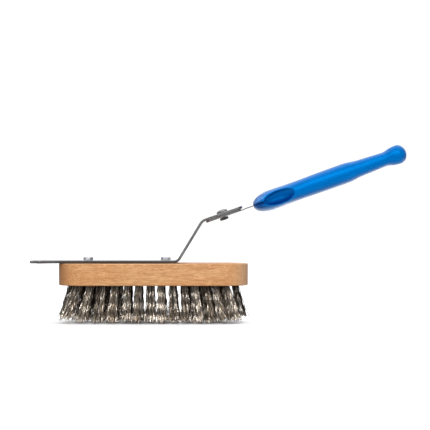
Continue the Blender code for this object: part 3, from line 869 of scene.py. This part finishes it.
def make_nut(material):
    count = 96
    flats, top, height, bore = 8.0, -5.3, 2.8, 2.65

    def chamfer(r):
        return max(0.0, r - 3.95) * 0.6

    low = top - height
    rings = [
        ring_at((0, 0, low + 0.5), bore, count),
        ring_at((0, 0, low), bore + 0.45, count),
        hex_ring(flats, 0.9, count, lambda r: low + chamfer(r)),
        hex_ring(flats, 0.97, count, lambda r: low + chamfer(r)),
        hex_ring(flats, 1.0, count, lambda r: low + chamfer(r) + 0.06),
        hex_ring(flats, 1.0, count, lambda r: top - chamfer(r) - 0.06),
        hex_ring(flats, 0.97, count, lambda r: top - chamfer(r)),
        hex_ring(flats, 0.9, count, lambda r: top - chamfer(r)),
        ring_at((0, 0, top), bore + 0.45, count),
        ring_at((0, 0, top - 0.5), bore, count),
    ]
    bm = bmesh.new()
    loops = loft(bm, rings, caps=(False, False))
    for i in range(count):
        j = (i + 1) % count
        bm.faces.new((loops[-1][i], loops[-1][j], loops[0][j], loops[0][i]))
    mesh = tidy(to_mesh(bm, "nut"), 1.0)
    move(mesh, swivel_to_row)
    return piece("lock_nut", mesh, material, "head", ["pivot_nut"], 30, True)


# -------------------------------------------------------------------- tang


def arc(centre, radius, start, end, count):
    return [
        (
            centre[0] + radius * math.cos(math.radians(start + (end - start) * i / count)),
            centre[1] + radius * math.sin(math.radians(start + (end - start) * i / count)),
        )
        for i in range(count + 1)
    ]


def drop_at(u):
    """How far the tang's middle lies from the flat round the pivot."""
    start, slope = 21.0, math.tan(TILT)
    if u <= start:
        return 0.0
    if u >= NOSE:
        return -DROP + slope * (u - NOSE)
    t = (u - start) / (NOSE - start)
    return -DROP * t * t * (3 - 2 * t) + slope * (NOSE - start) * (t**3 - t * t)


def slice_at(mesh, cuts):
    """Extra edge rings across the mesh at the given x."""
    bm = bmesh.new()
    bm.from_mesh(mesh)
    for x in cuts:
        bmesh.ops.bisect_plane(
            bm,
            geom=bm.verts[:] + bm.edges[:] + bm.faces[:],
            plane_co=(x, 0, 0),
            plane_no=(1, 0, 0),
            dist=0.0005,
        )
    bm.to_mesh(mesh)
    bm.free()


def make_tang(material):
    half, rear, tongue = 11.0, 19.3, 5.0
    reach = math.degrees(math.asin(half / rear))
    outline = arc((0, 0), rear, 180 + reach, 180 - reach, 30)
    upper = [(23.0, half)]
    for i in range(1, 17):
        t = i / 16
        ease = t * t * (3 - 2 * t)
        upper.append((23.0 + (NOSE - 1.0 - 23.0) * t, half + (tongue - half) * ease))
    end = NOSE + 30.0
    upper += [(end - 1.5, tongue), (end - 0.45, tongue - 0.45), (end, tongue - 1.5)]
    outline += upper + [(x, -y) for x, y in reversed(upper)]
    mesh = flat_solid("tang", outline, [circle_points(0, 0, 2.65)], 1.0, 0.16)
    slice_at(mesh, [21.0 + 12.6 * k / 14 for k in range(15)])
    vector_attribute(mesh, "place", [tuple(v.co) for v in mesh.vertices])

    def rise(u):
        t = min(max((u - 20.5) / 5.0, 0.0), 1.0)
        return 0.45 * t * t * (3 - 2 * t)

    move(mesh, lambda u, y, n: swivel_to_row(u, y, TANG_MID + n + drop_at(u) + rise(u)))
    return piece("tang", mesh, material, "handle", ["handle_tang"], 32, True)


def make_backing(material):
    half, rear, front, corner = 11.0, 19.3, 20.0, 4.0
    reach = math.degrees(math.asin(half / rear))
    outline = arc((0, 0), rear, 180 + reach, 180 - reach, 30)
    outline += arc((front - corner, half - corner), corner, 90, 0, 10)
    outline += arc((front - corner, -half + corner), corner, 0, -90, 10)
    mesh = flat_solid("backing", outline, [circle_points(0, 0, 2.65)], 1.2, 0.12)
    # raised 0.3 mm so that the painted shadow falls on the upper rim only
    vector_attribute(mesh, "place", [(v.co.x, v.co.y, v.co.z + 0.3) for v in mesh.vertices])
    move(mesh, lambda u, y, n: swivel_to_row(u, y, -3.37 + n))
    return piece("backing_plate", mesh, material, "handle", ["tang_backing_plate"], 32, True)


# ------------------------------------------------------------------ handle


def hermite_table(stations, step=0.05):
    """Smooth (s, half height, half width) between the stations, without overshoot."""
    data = np.array(stations, float)
    s = data[:, 0]
    fine = np.arange(s[0], s[-1] + step / 2, step)
    columns = []
    for c in (1, 2):
        v = data[:, c]
        h = np.diff(s)
        slope = np.diff(v) / h
        m = np.zeros(len(v))
        m[0], m[-1] = slope[0], slope[-1]
        for i in range(1, len(v) - 1):
            if slope[i - 1] * slope[i] > 0:
                w1, w2 = 2 * h[i] + h[i - 1], h[i] + 2 * h[i - 1]
                m[i] = (w1 + w2) / (w1 / slope[i - 1] + w2 / slope[i])
        i = np.clip(np.searchsorted(s, fine, side="right") - 1, 0, len(h) - 1)
        t = (fine - s[i]) / h[i]
        value = (
            (2 * t**3 - 3 * t**2 + 1) * v[i]
            + (t**3 - 2 * t**2 + t) * h[i] * m[i]
            + (-2 * t**3 + 3 * t**2) * v[i + 1]
            + (t**3 - t**2) * h[i] * m[i + 1]
        )
        # a running mean takes out the changes of curvature, except at the two ends
        kernel = np.exp(-0.5 * (np.arange(-160, 161) * step / 2.2) ** 2)
        kernel /= kernel.sum()
        padded = np.pad(value, 160, mode="edge")
        soft = np.convolve(padded, kernel, mode="valid")
        end = np.minimum(np.clip((fine - 5) / 12, 0, 1), np.clip((152 - fine) / 10, 0, 1))
        end = end * end * (3 - 2 * end)
        columns.append(value * (1 - end) + soft * end)
    return fine, columns[0], columns[1]


TABLE_S, TABLE_A, TABLE_B = hermite_table(STATIONS)


def smooth_max(a, b, k):
    h = np.clip(0.5 + 0.5 * (a - b) / k, 0, 1)
    return b + (a - b) * h + k * h * (1 - h)


def ellipsoid(p, centre, radii):
    q = (p - np.array(centre)) / np.array(radii)
    k0 = np.linalg.norm(q, axis=-1)
    k1 = np.linalg.norm(q / np.array(radii), axis=-1)
    return k0 * (k0 - 1) / np.maximum(k1, 1e-6)


def scoop_out(s):
    """A scoop is deepest toward the nose and runs out flat at its other end."""
    return SCOOP_Y + 3.6 * np.clip((s - 33.0) / 15.0, 0, 1) ** 1.5


def handle_field(p):
    """Below zero inside the handle; close to a distance in millimetres near its surface."""
    s, y, z = p[..., 0], p[..., 1], p[..., 2]
    a = np.interp(s, TABLE_S, TABLE_A)
    b = np.interp(s, TABLE_S, TABLE_B)
    power = 1.75 + 0.6 * np.clip(s / 22.0, 0, 1)
    ay, az = np.abs(y) / b, np.abs(z) / a
    q = np.maximum(ay**power + az**power, 1e-9)
    f = q ** (1 / power)
    slope_y = f / q * np.maximum(ay, 1e-6) ** (power - 1) / b
    slope_z = f / q * np.maximum(az, 1e-6) ** (power - 1) / a
    d = (f - 1) / np.maximum(np.hypot(slope_y, slope_z), 0.02)
    d = smooth_max(d, -s, 0.8)
    d = smooth_max(d, s - 171.2, 1.2)
    # side scoops, each with a narrow valley that runs on to the nose
    bowl = np.stack([s, np.minimum(np.abs(y) - scoop_out(s), 0.0), z], -1)
    scoop = ellipsoid(bowl, (SCOOP_AT, 0.0, 0.25), SCOOP_SIZE)
    d = smooth_max(d, -scoop, 1.5)
    side = np.stack([s, np.abs(y) - b, z], -1)
    valley = ellipsoid(side, (3.0, 1.0, -0.2), (14.5, 3.7, 1.9))
    d = smooth_max(d, -valley, 0.8)
    # slot round the tongue
    slot = np.maximum(np.maximum(np.abs(y) - 5.3, np.abs(z) - 0.8), s - 30.3)
    d = smooth_max(d, -slot, 0.3)
    # hanging hole with flared mouths
    flare = np.interp(np.abs(z), (0, 4.5, 7.0, 9.5, 14.0), (0, 0, 0.35, 1.19, 2.94))
    ra, rb = 7.0 + flare, 4.5 + flare
    qx, qy = (s - 158.0) / ra, y / rb
    k0 = np.sqrt(qx * qx + qy * qy)
    k1 = np.sqrt((qx / ra) ** 2 + (qy / rb) ** 2)
    hole = k0 * (k0 - 1) / np.maximum(k1, 1e-6)
    return smooth_max(d, -hole, 0.9)


def painted_pocket_shade(p):
    """Painted shade in the two side scoops and the valleys, and towards the nose tip: 0 outside, up to 1 low in a
    scoop.
    """
    s, y, z = p[:, 0], p[:, 1], p[:, 2]
    b = np.interp(s, TABLE_S, TABLE_B)
    bowl = np.stack([s, np.minimum(np.abs(y) - scoop_out(s), 0.0), z], -1)
    scoop = np.clip(1.0 - ellipsoid(bowl, (SCOOP_AT, 0.0, 0.25), SCOOP_SIZE) / 0.5, 0, 1)
    depth = np.clip((b - 0.7 - np.abs(y)) / 1.2, 0, 1)
    low = np.clip(0.62 - 0.55 * z / SCOOP_SIZE[2], 0.10, 0.95)
    side = np.stack([s, np.abs(y) - b, z], -1)
    valley = np.clip(1.0 - ellipsoid(side, (3.0, 1.0, -0.2), (14.5, 3.7, 1.9)) / 0.6, 0, 1)
    nose = 0.55 * np.clip((15.0 - s) / 10.0, 0, 1)
    return np.maximum(np.maximum(scoop * depth * low, valley * 0.85), nose)


def surface_nets(field, low, high, step):
    """Quad mesh of field = 0 over a box."""
    axes = [np.arange(l, h + step, step) for l, h in zip(low, high)]
    grid = np.stack(np.meshgrid(*axes, indexing="ij"), -1)
    f = field(grid)
    inside = f < 0
    shape = tuple(n - 1 for n in f.shape)
    total = np.zeros(shape + (3,))
    count = np.zeros(shape)
    crossings = []
    for axis in range(3):
        lo = [slice(None)] * 3
        hi = [slice(None)] * 3
        lo[axis], hi[axis] = slice(0, -1), slice(1, None)
        f0, f1 = f[tuple(lo)], f[tuple(hi)]
        crossed = inside[tuple(lo)] != inside[tuple(hi)]
        idx = np.argwhere(crossed)
        t = f0[crossed] / (f0[crossed] - f1[crossed])
        point = idx.astype(float)
        point[:, axis] += t
        others = [k for k in range(3) if k != axis]
        for da in (0, -1):
            for db in (0, -1):
                cell = idx.copy()
                cell[:, others[0]] += da
                cell[:, others[1]] += db
                ok = ((cell >= 0) & (cell < np.array(shape))).all(1)
                np.add.at(total, tuple(cell[ok].T), point[ok])
                np.add.at(count, tuple(cell[ok].T), 1)
        crossings.append((axis, others, idx, f0[crossed] < 0))
    active = count > 0
    number = -np.ones(shape, int)
    number[active] = np.arange(active.sum())
    verts = total[active] / count[active][:, None] * step + np.array(low)
    quads = []
    for axis, others, idx, negative in crossings:
        corner = []
        for da, db in ((-1, -1), (0, -1), (0, 0), (-1, 0)):
            cell = idx.copy()
            cell[:, others[0]] += da
            cell[:, others[1]] += db
            corner.append(number[tuple(cell.T)])
        quad = np.stack(corner, 1)
        flip = negative if axis != 1 else ~negative
        quad[~flip] = quad[~flip][:, ::-1]
        quads.append(quad)
    return verts, np.concatenate(quads)


def gradient(field, p, e=0.02):
    g = np.empty_like(p)
    for axis in range(3):
        d = np.zeros(3)
        d[axis] = e
        g[:, axis] = (field(p + d) - field(p - d)) / (2 * e)
    return g


def settle(field, p, times=3):
    for _ in range(times):
        g = gradient(field, p)
        size = np.maximum((g * g).sum(1), 1e-3)
        move_by = (field(p) / size)[:, None] * g
        far = np.linalg.norm(move_by, axis=1)
        move_by *= np.minimum(1, 0.3 / np.maximum(far, 1e-9))[:, None]
        p = p - move_by
    return p


def make_handle(material):
    verts, quads = surface_nets(handle_field, (-1.5, -20.5, -12.0), (174.0, 20.5, 12.0), 0.5)
    verts = settle(handle_field, verts)
    ends = np.concatenate([quads, np.roll(quads, -1, axis=1)]).reshape(-1)
    pairs = np.stack([quads.reshape(-1), np.roll(quads, -1, axis=1).reshape(-1)], 1)
    del ends
    for _ in range(4):
        total = np.zeros_like(verts)
        count = np.zeros(len(verts))
        for i, j in ((0, 1), (1, 0)):
            np.add.at(total, pairs[:, i], verts[pairs[:, j]])
            np.add.at(count, pairs[:, i], 1)
        verts = 0.5 * verts + 0.5 * total / count[:, None]
        verts = settle(handle_field, verts, 2)
    g = gradient(handle_field, verts)
    g /= np.maximum(np.linalg.norm(g, axis=1), 1e-9)[:, None]
    turn = np.array([[U_AXIS.x, 0, N_AXIS.x], [0, 1, 0], [U_AXIS.z, 0, N_AXIS.z]])
    place = verts.copy()
    lean = np.array(
        [[math.cos(TILT), 0, -math.sin(TILT)], [0, 1, 0], [math.sin(TILT), 0, math.cos(TILT)]]
    )
    turn = turn @ lean
    local = verts + lean.T @ np.array([NOSE, 0, TANG_MID - DROP])
    world = (local @ turn.T + np.array(PIVOT) + np.array([ROW_X, 0, 0])) * MM
    normals = g @ turn.T
    mesh = bpy.data.meshes.new("grip_mesh")
    mesh.from_pydata(world.tolist(), [], quads.tolist())
    mesh.update()
    first = mesh.polygons[0]
    if Vector(normals[first.vertices[0]]).dot(first.normal) < 0:
        mesh.flip_normals()
    mesh.shade_smooth()
    mesh.normals_split_custom_set_from_vertices(normals.tolist())
    vector_attribute(mesh, "place", place)
    float_attribute(mesh, "pocket_shade", painted_pocket_shade(place))
    return piece("grip", mesh, material, "handle", ["handle_grip"])


# ------------------------------------------------------------------- build

axes = tuft_axes()
beech_material = beech()
# painted shade darkens the plate's edge face along its low flat run, less near the blade tip
plate_material = brushed(
    "plate_steel_brushed",
    linear(174, 173, 172),
    0.30,
    0.44,
    (0.06, 2.4, 2.4),
    attribute="place",
    edge=(1.04, 1.30, 150.0, 163.0, 0.92, 0.0, 18.0, 34.0, 0.20),
)
# painted shade darkens the tang's edge face from 19 mm past the pivot on, towards the grip
tang_material = brushed(
    "tang_steel_brushed",
    linear(236, 235, 235),
    0.24,
    0.36,
    (0.08, 3.0, 3.0),
    attribute="place",
    stain=0.12,
    edge=(0.40, 0.50, 100.0, 101.0, 1.0, 1.0, 19.0, 23.0, 0.0),
)
zinc_material = plated("zinc_plated", linear(226, 228, 232), 0.18, 0.30)
bolt_material = plated("zinc_plated_bolt", linear(152, 152, 154), 0.26, 0.38)
# painted shadow only along its upper rim, under the strap
backing_material = brushed(
    "backing_steel_brushed",
    linear(238, 237, 238),
    0.24,
    0.36,
    (0.08, 3.0, 3.0),
    attribute="place",
    stain=0.12,
    edge=(0.82, 0.50, 100.0, 101.0, 1.0, 1.0, -101.0, -100.0, 0.94),
)
dark_zinc_material = plated("zinc_plated_dark", linear(120, 121, 126), 0.26, 0.40)
wire_material = wire()
blue_material = blue_plastic()

make_block(beech_material, axes)
for number, (node, root, tip, radius) in enumerate(axes):
    make_tuft(node, root, tip, radius, wire_material, 4100 + number)
make_plate(plate_material)
front_screw = make_screw("front_screw", SCREWS[0], "block_screw_front", zinc_material)
rear_screw = make_screw("rear_screw", SCREWS[1], "block_screw_rear", zinc_material)
make_bolt(bolt_material)
make_nut(dark_zinc_material)
make_tang(tang_material)
make_backing(backing_material)
grip = make_handle(blue_material)


# ------------------------------------------------------------------- stage

FLOOR_GLOW, BOUNCE_NEAR, BOUNCE_FAR = 0.40, 0.16, 0.60
MIRROR_GLOW = 0.25


def make_floor():
    """Pale paper, which glows so that it shows white. A second, duller sheet just under it is what the object's
    underside sees, a painted shade, and a third, glowing sheet is what reflections see.
    """
    for name, near, far, glow_in_painted_shadow, glow, z in (
        ("floor", 0.94, 0.94, 0.05, FLOOR_GLOW, -0.00005),
        ("floor_bounce", BOUNCE_NEAR, BOUNCE_FAR, 0.0, 0.0, -0.0005),
        ("floor_mirror", 0.3, 0.9, 0.0, MIRROR_GLOW, -0.001),
    ):
        s = Shader(name + "_paper")
        s.set(Roughness=0.85, Specular_IOR_Level=0.15, Emission_Color=(1, 1, 1, 1), Emission_Strength=0.0)
        paper = s.noise(s.coords((0.02, 0.02, 0.02)), detail=3.0)
        place = s.node("ShaderNodeTexCoord").outputs["Object"]
        # distance from the brush's footprint, with the length of the block taken out
        mapping = s.node("ShaderNodeMapping")
        s.link(place, mapping.inputs["Vector"])
        mapping.inputs["Scale"].default_value = (0.32, 1.0, 1.0)
        mapping.inputs["Location"].default_value = (-(BLOCK_X + ROW_X) * MM * 0.32, 0.0, 0.0)
        reach = s.node("ShaderNodeVectorMath", operation="LENGTH")
        s.link(mapping.outputs["Vector"], reach.inputs[0])
        out = s.range(reach.outputs["Value"], 0.06, 0.17, 0.0, 1.0, smooth=True)
        # painted shade: the bounce and mirror sheets are darker near the brush's footprint; the paper stays even
        tone = s.mix(out, (near,) * 3, (far,) * 3)
        s.to(Base_Color=s.mix(paper, s.mix(1.0, tone, (0.98, 0.98, 0.985), "MULTIPLY"), tone))
        if glow:  # the paper and the reflected sheet glow, less near the brush's footprint: a painted shadow
            s.to(Emission_Strength=s.range(reach.outputs["Value"], 0.026, 0.066, glow_in_painted_shadow, glow, smooth=True))
        bm = bmesh.new()
        bmesh.ops.create_circle(bm, cap_ends=True, segments=96, radius=14.0)
        mesh = to_mesh(bm, name)
        sheet = bpy.data.objects.new(name, mesh)
        bpy.context.scene.collection.objects.link(sheet)
        mesh.materials.append(s.material)
        sheet.location.z = z
        sheet.visible_camera = name == "floor"
        sheet.visible_diffuse = name == "floor_bounce"
        sheet.visible_glossy = name == "floor_mirror"


def area(name, location, target, size, power, colour=(1, 1, 1)):
    light = bpy.data.lights.new(name, "AREA")
    light.shape = "RECTANGLE"
    light.size, light.size_y = size
    light.energy = power
    light.color = colour
    obj = bpy.data.objects.new(name, light)
    bpy.context.scene.collection.objects.link(obj)
    obj.location = location
    obj.rotation_euler = (Vector(target) - Vector(location)).to_track_quat("-Z", "Y").to_euler()
    return obj


def lit_by(light, objects, state="INCLUDE"):
    """Keeps a light to these objects, or keeps it off them."""
    group = bpy.data.collections.new(light.name + "_objects")
    for obj in objects:
        group.objects.link(obj)
    light.light_linking.receiver_collection = group
    for entry in group.collection_objects:
        entry.light_linking.link_state = state


def make_world():
    world = bpy.data.worlds.new("studio")
    bpy.context.scene.world = world
    world.use_nodes = True
    tree = world.node_tree
    tree.nodes.clear()
    out = tree.nodes.new("ShaderNodeOutputWorld")
    mix = tree.nodes.new("ShaderNodeMixShader")
    seen = tree.nodes.new("ShaderNodeBackground")
    lit = tree.nodes.new("ShaderNodeBackground")
    path = tree.nodes.new("ShaderNodeLightPath")
    seen.inputs["Color"].default_value = (1, 1, 1, 1)
    seen.inputs["Strength"].default_value = 1.05
    coord = tree.nodes.new("ShaderNodeTexCoord")
    split = tree.nodes.new("ShaderNodeSeparateXYZ")
    tree.links.new(coord.outputs["Generated"], split.inputs["Vector"])
    # brighter above and behind the object, darker on the near side
    up = tree.nodes.new("ShaderNodeMapRange")
    up.inputs["From Min"].default_value = -0.1
    up.inputs["From Max"].default_value = 0.9
    up.inputs["To Min"].default_value = 0.07
    up.inputs["To Max"].default_value = 0.50
    tree.links.new(split.outputs["Z"], up.inputs["Value"])
    back = tree.nodes.new("ShaderNodeMapRange")
    back.inputs["From Min"].default_value = -0.2
    back.inputs["From Max"].default_value = 0.8
    back.inputs["To Min"].default_value = 0.0
    back.inputs["To Max"].default_value = 1.0
    tree.links.new(split.outputs["Y"], back.inputs["Value"])
    add = tree.nodes.new("ShaderNodeMath")
    tree.links.new(up.outputs["Result"], add.inputs[0])
    tree.links.new(back.outputs["Result"], add.inputs[1])
    lit.inputs["Color"].default_value = (0.97, 0.98, 1.0, 1)
    # a dark flag on each side
    aside = tree.nodes.new("ShaderNodeMath")
    aside.operation = "ABSOLUTE"
    tree.links.new(split.outputs["X"], aside.inputs[0])
    flag = tree.nodes.new("ShaderNodeMapRange")
    flag.interpolation_type = "SMOOTHSTEP"
    flag.inputs["From Min"].default_value = 0.50
    flag.inputs["From Max"].default_value = 0.90
    flag.inputs["To Min"].default_value = 1.0
    flag.inputs["To Max"].default_value = 0.22
    tree.links.new(aside.outputs["Value"], flag.inputs["Value"])
    flagged = tree.nodes.new("ShaderNodeMath")
    flagged.operation = "MULTIPLY"
    tree.links.new(add.outputs["Value"], flagged.inputs[0])
    tree.links.new(flag.outputs["Result"], flagged.inputs[1])
    tree.links.new(flagged.outputs["Value"], lit.inputs["Strength"])
    tree.links.new(path.outputs["Is Camera Ray"], mix.inputs["Fac"])
    tree.links.new(lit.outputs["Background"], mix.inputs[1])
    tree.links.new(seen.outputs["Background"], mix.inputs[2])
    tree.links.new(mix.outputs["Shader"], out.inputs["Surface"])


def make_camera():
    data = bpy.data.cameras.new("camera")
    data.sensor_width = 36.0
    data.lens = 118.5
    data.clip_start, data.clip_end = 0.05, 60.0
    camera = bpy.data.objects.new("camera", data)
    bpy.context.scene.collection.objects.link(camera)
    camera.location = (ROW_X * MM - 0.003113, -1.5, 0.114)
    camera.rotation_euler = (math.radians(90), 0, 0)
    bpy.context.scene.camera = camera


make_floor()
make_world()
make_camera()
key = area("key", (-0.2, -1.25, 1.4), (0, 0, 0.08), (1.8, 0.7), 13.0)
key.visible_glossy = False
front = area("front_fill", (0.1, -2.05, 0.95), (0, 0, 0.08), (1.6, 1.0), 27.0)
front.visible_glossy = False
shine = area("key_shine", (-0.2, -1.25, 1.4), (0, 0, 0.08), (2.4, 0.9), 46.0)
shine.visible_diffuse = False
lit_by(shine, [grip], "EXCLUDE")
band = area("grip_shine", (0.0, -1.8, 1.0), (0.1, 0, 0.14), (2.4, 1.15), 37.0)
band.visible_diffuse = False
lit_by(band, [grip])
small = area("screw_shine", (-0.40, -1.8, 0.25), (-0.1, 0, 0.06), (0.9, 0.8), 2.7)
small.visible_diffuse = False
lit_by(small, [front_screw, rear_screw])
side = area("left_glow", (-1.30, 0.35, 1.0), (0.04, 0, 0.12), (1.0, 1.0), 20.0)
side.visible_diffuse = False
lit_by(side, [grip])
under = area("under_glow", (0.15, 0.25, 0.002), (0.15, 0.25, 1.0), (0.9, 1.2), 6.0)
under.visible_diffuse = False
under.visible_camera = False
lit_by(under, [grip])
area("top", (0.0, 0.35, 1.6), (0, 0, 0.08), (1.8, 1.0), 3.0)
sun = bpy.data.lights.new("even", "SUN")
sun.energy = 0.35
sun.angle = math.radians(70)
sky = bpy.data.objects.new("even", sun)
bpy.context.scene.collection.objects.link(sky)
sky.rotation_euler = (math.radians(12), 0, 0)
view = bpy.context.scene.view_settings
view.view_transform = "Standard"
view.look = "None"
view.exposure = 0.0
view.gamma = 1.0

bpy.context.view_layer.update()
